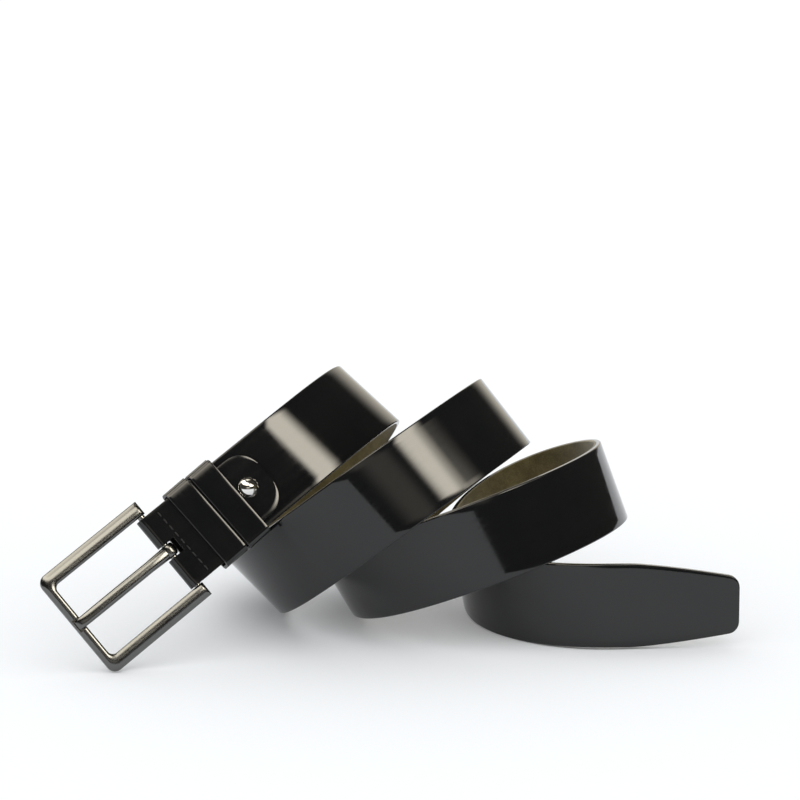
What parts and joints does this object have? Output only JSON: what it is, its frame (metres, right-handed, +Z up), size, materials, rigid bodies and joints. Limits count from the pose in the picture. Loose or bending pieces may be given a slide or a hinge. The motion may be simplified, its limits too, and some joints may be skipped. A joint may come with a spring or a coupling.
{
  "type": "leather belt",
  "caption": "Dress belt in polished leather with a suede lining and a prong buckle, rolled into a leaning coil and stood on its edge.",
  "frame": {"origin": "on the ground under the middle of the belt's outline, seen from above", "axes": "+X from the buckle towards the strap's tip, +Z up, -Y towards the side that shows the buckle's face"},
  "size_m": [0.2867, 0.1597, 0.1063],
  "materials": {
    "grain_leather": "polished, high gloss",
    "suede": "olive suede nap",
    "thread": "waxed thread",
    "steel": "drawn wire",
    "bright_metal": "polished",
    "gunmetal": "satin gunmetal plating"
  },
  "bodies": {
    "belt": {"strap": "grain_leather", "lining": "suede", "chape": "grain_leather", "needle_thread": "thread", "bobbin_thread": "thread", "screw_post": "bright_metal", "backing_screw": "bright_metal"},
    "buckle": {"buckle_frame": "gunmetal", "heel_bar": "gunmetal"},
    "prong": {"prong": "gunmetal"},
    "keeper_1": {"keeper_1": "grain_leather", "keeper_1_staple": "steel"},
    "keeper_2": {"keeper_2": "grain_leather", "keeper_2_staple": "steel"}
  },
  "joints": [
    {"name": "buckle_hinge", "type": "hinge", "parent": "belt", "child": "buckle", "pos_m": [-0.092, -0.05427, 0.04403], "axis": [-0.6418, 0.1793, 0.7456], "range_deg": [-40, 40]},
    {"name": "prong_hinge", "type": "hinge", "parent": "buckle", "child": "prong", "pos_m": [-0.092, -0.05427, 0.04403], "axis": [-0.6418, 0.1793, 0.7456], "range_deg": [0, 60]},
    {"name": "keeper_1_slide", "type": "slide", "parent": "belt", "child": "keeper_1", "axis": [0.7345, 0.4233, 0.5304], "range_m": [-0.006, 0]},
    {"name": "keeper_2_slide", "type": "slide", "parent": "belt", "child": "keeper_2", "axis": [0.7345, 0.4233, 0.5304], "range_m": [-0.0007, 0]}
  ]
}
